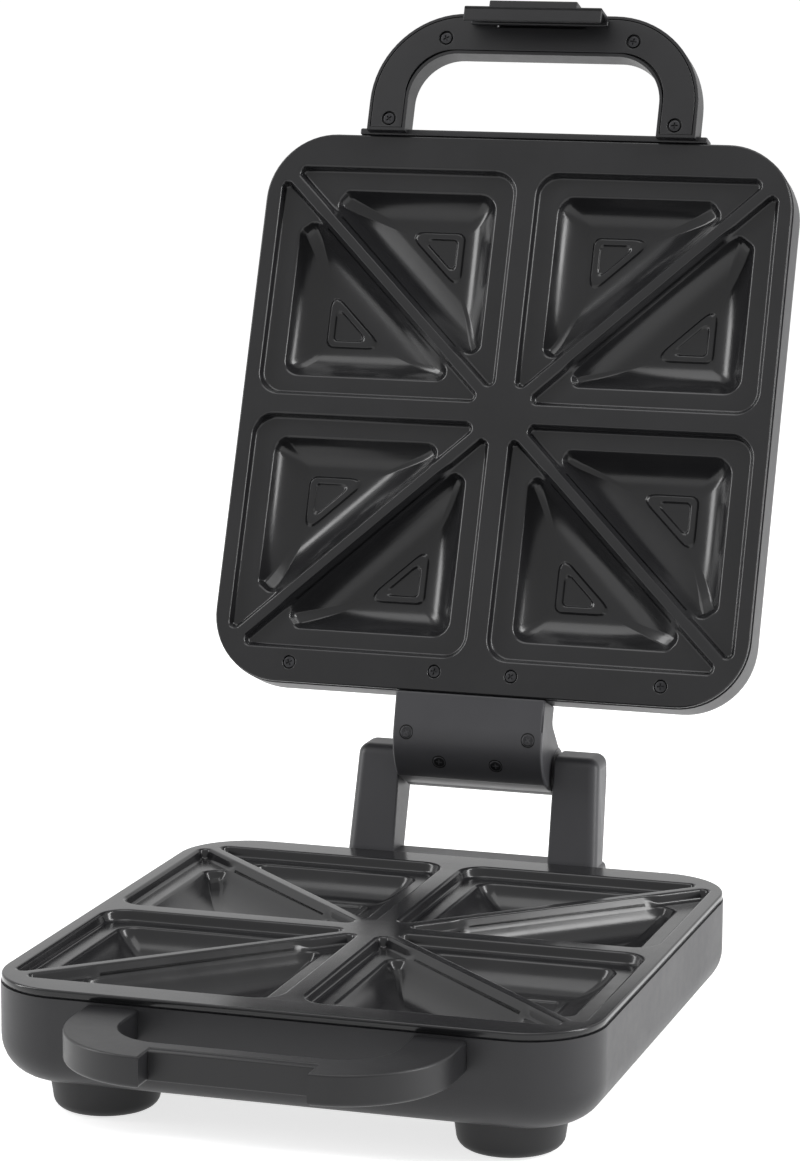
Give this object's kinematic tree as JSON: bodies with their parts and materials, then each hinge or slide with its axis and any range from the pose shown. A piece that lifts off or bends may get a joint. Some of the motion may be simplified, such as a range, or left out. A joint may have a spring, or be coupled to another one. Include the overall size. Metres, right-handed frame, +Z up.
{
  "type": "sandwich toaster",
  "caption": "Electric sandwich toaster, open: ridged plates in a low housing and in a lid hinged between two rear posts, with loop handles and a swinging latch.",
  "frame": {"origin": "middle of the whole open toaster's footprint box, on the surface it stands on", "axes": "+X to the right seen from the handles, +Y from the handles to the hinge, +Z up"},
  "size_m": [0.2516, 0.4444, 0.4387],
  "materials": {
    "coated_plate": "cast, dark non-stick coating",
    "housing_plastic": "satin black",
    "handle_plastic": "fine matte black",
    "hinge_plastic": "fine matte charcoal",
    "foot_plastic": "matte black",
    "rubber": "matte",
    "heater_tube": "oxidised steel sheath",
    "inner_metal": "plain sheet",
    "insulator": "moulded ceramic or resin",
    "red_lens": "clear red",
    "green_lens": "clear green",
    "bush_metal": "plain",
    "pin_steel": "ground",
    "dark_screw": "dark zinc",
    "steel_screw": "zinc plated"
  },
  "bodies": {
    "base": {"base_housing": "housing_plastic", "base_plate": "coated_plate", "base_plate_screws": "steel_screw", "base_heater": "heater_tube", "base_heater_clamps": "inner_metal", "base_heat_shield": "inner_metal", "thermostat": "insulator", "base_thermal_fuse": "insulator", "terminal_block": "insulator", "cord_gland": "rubber", "feet": "foot_plastic", "foot_pads": "rubber", "foot_screws": "steel_screw", "lower_handle": "handle_plastic", "lower_handle_screws": "steel_screw", "hinge_bracket": "hinge_plastic", "bracket_screws": "steel_screw", "hinge_bushes": "bush_metal"},
    "lid": {"lid_housing": "housing_plastic", "lid_plate": "coated_plate", "lid_plate_screws": "dark_screw", "lid_heater": "heater_tube", "lid_heater_clamps": "inner_metal", "lid_heat_shield": "inner_metal", "lid_thermal_fuse": "insulator", "shield_standoffs": "inner_metal", "power_lens": "red_lens", "ready_lens": "green_lens", "lamp_holders": "insulator", "lid_handle": "handle_plastic", "lid_handle_cover": "handle_plastic", "cover_screws": "dark_screw", "lid_handle_screws": "steel_screw", "hinge_arm": "hinge_plastic", "arm_cover": "hinge_plastic", "arm_screws": "dark_screw", "arm_bolts": "steel_screw", "hinge_shaft": "pin_steel", "latch_pin": "pin_steel", "latch_washers": "steel_screw"},
    "latch": {"latch": "handle_plastic"}
  },
  "joints": [
    {"name": "lid_hinge", "type": "hinge", "parent": "base", "child": "lid", "pos_m": [0, 0.12372, 0.094], "axis": [1, 0, 0], "range_deg": [0, 110.7]},
    {"name": "latch_hinge", "type": "hinge", "parent": "lid", "child": "latch", "pos_m": [0, 0.21159, 0.42415], "axis": [1, 0, 0], "range_deg": [-10, 8]}
  ]
}
